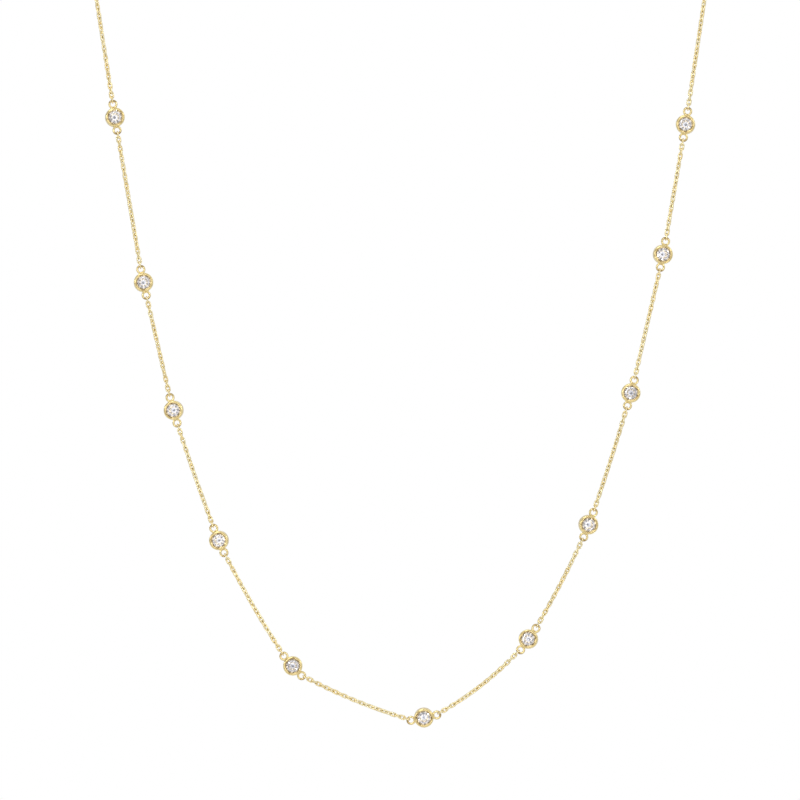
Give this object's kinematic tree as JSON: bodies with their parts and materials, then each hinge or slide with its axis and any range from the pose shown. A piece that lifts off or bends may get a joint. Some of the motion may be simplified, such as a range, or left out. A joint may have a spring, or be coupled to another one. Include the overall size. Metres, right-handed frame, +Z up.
{
  "type": "station necklace",
  "caption": "Fine cable chain necklace that hangs round the neck, with small round faceted stones in open-backed bezels set into its front and a spring ring clasp at the nape.",
  "frame": {"origin": "middle of the neck opening, level with the upper end of the hanging front", "axes": "+Z up, -Y to the front where the stones face, +X to the right as seen from the front"},
  "size_m": [0.1118, 0.0832, 0.1518],
  "materials": {
    "setting_gold": "polished yellow gold",
    "stone": "clear faceted stone, slightly blue",
    "chain_gold": "polished yellow gold",
    "clasp_gold": "polished yellow gold"
  },
  "bodies": {
    "root": {"setting_01": "setting_gold", "setting_02": "setting_gold", "setting_03": "setting_gold", "setting_04": "setting_gold", "setting_05": "setting_gold", "setting_06": "setting_gold", "setting_07": "setting_gold", "setting_08": "setting_gold", "setting_09": "setting_gold", "setting_10": "setting_gold", "setting_11": "setting_gold", "stone_01": "stone", "stone_02": "stone", "stone_03": "stone", "stone_04": "stone", "stone_05": "stone", "stone_06": "stone", "stone_07": "stone", "stone_08": "stone", "stone_09": "stone", "stone_10": "stone", "stone_11": "stone", "chain_run_01": "chain_gold", "chain_run_02": "chain_gold", "chain_run_03": "chain_gold", "chain_run_04": "chain_gold", "chain_run_05": "chain_gold", "chain_run_06": "chain_gold", "chain_run_07": "chain_gold", "chain_run_08": "chain_gold", "chain_run_09": "chain_gold", "chain_run_10": "chain_gold", "chain_back_left": "chain_gold", "chain_back_right": "chain_gold", "clasp": "clasp_gold", "end_ring": "clasp_gold"}
  },
  "joints": []
}
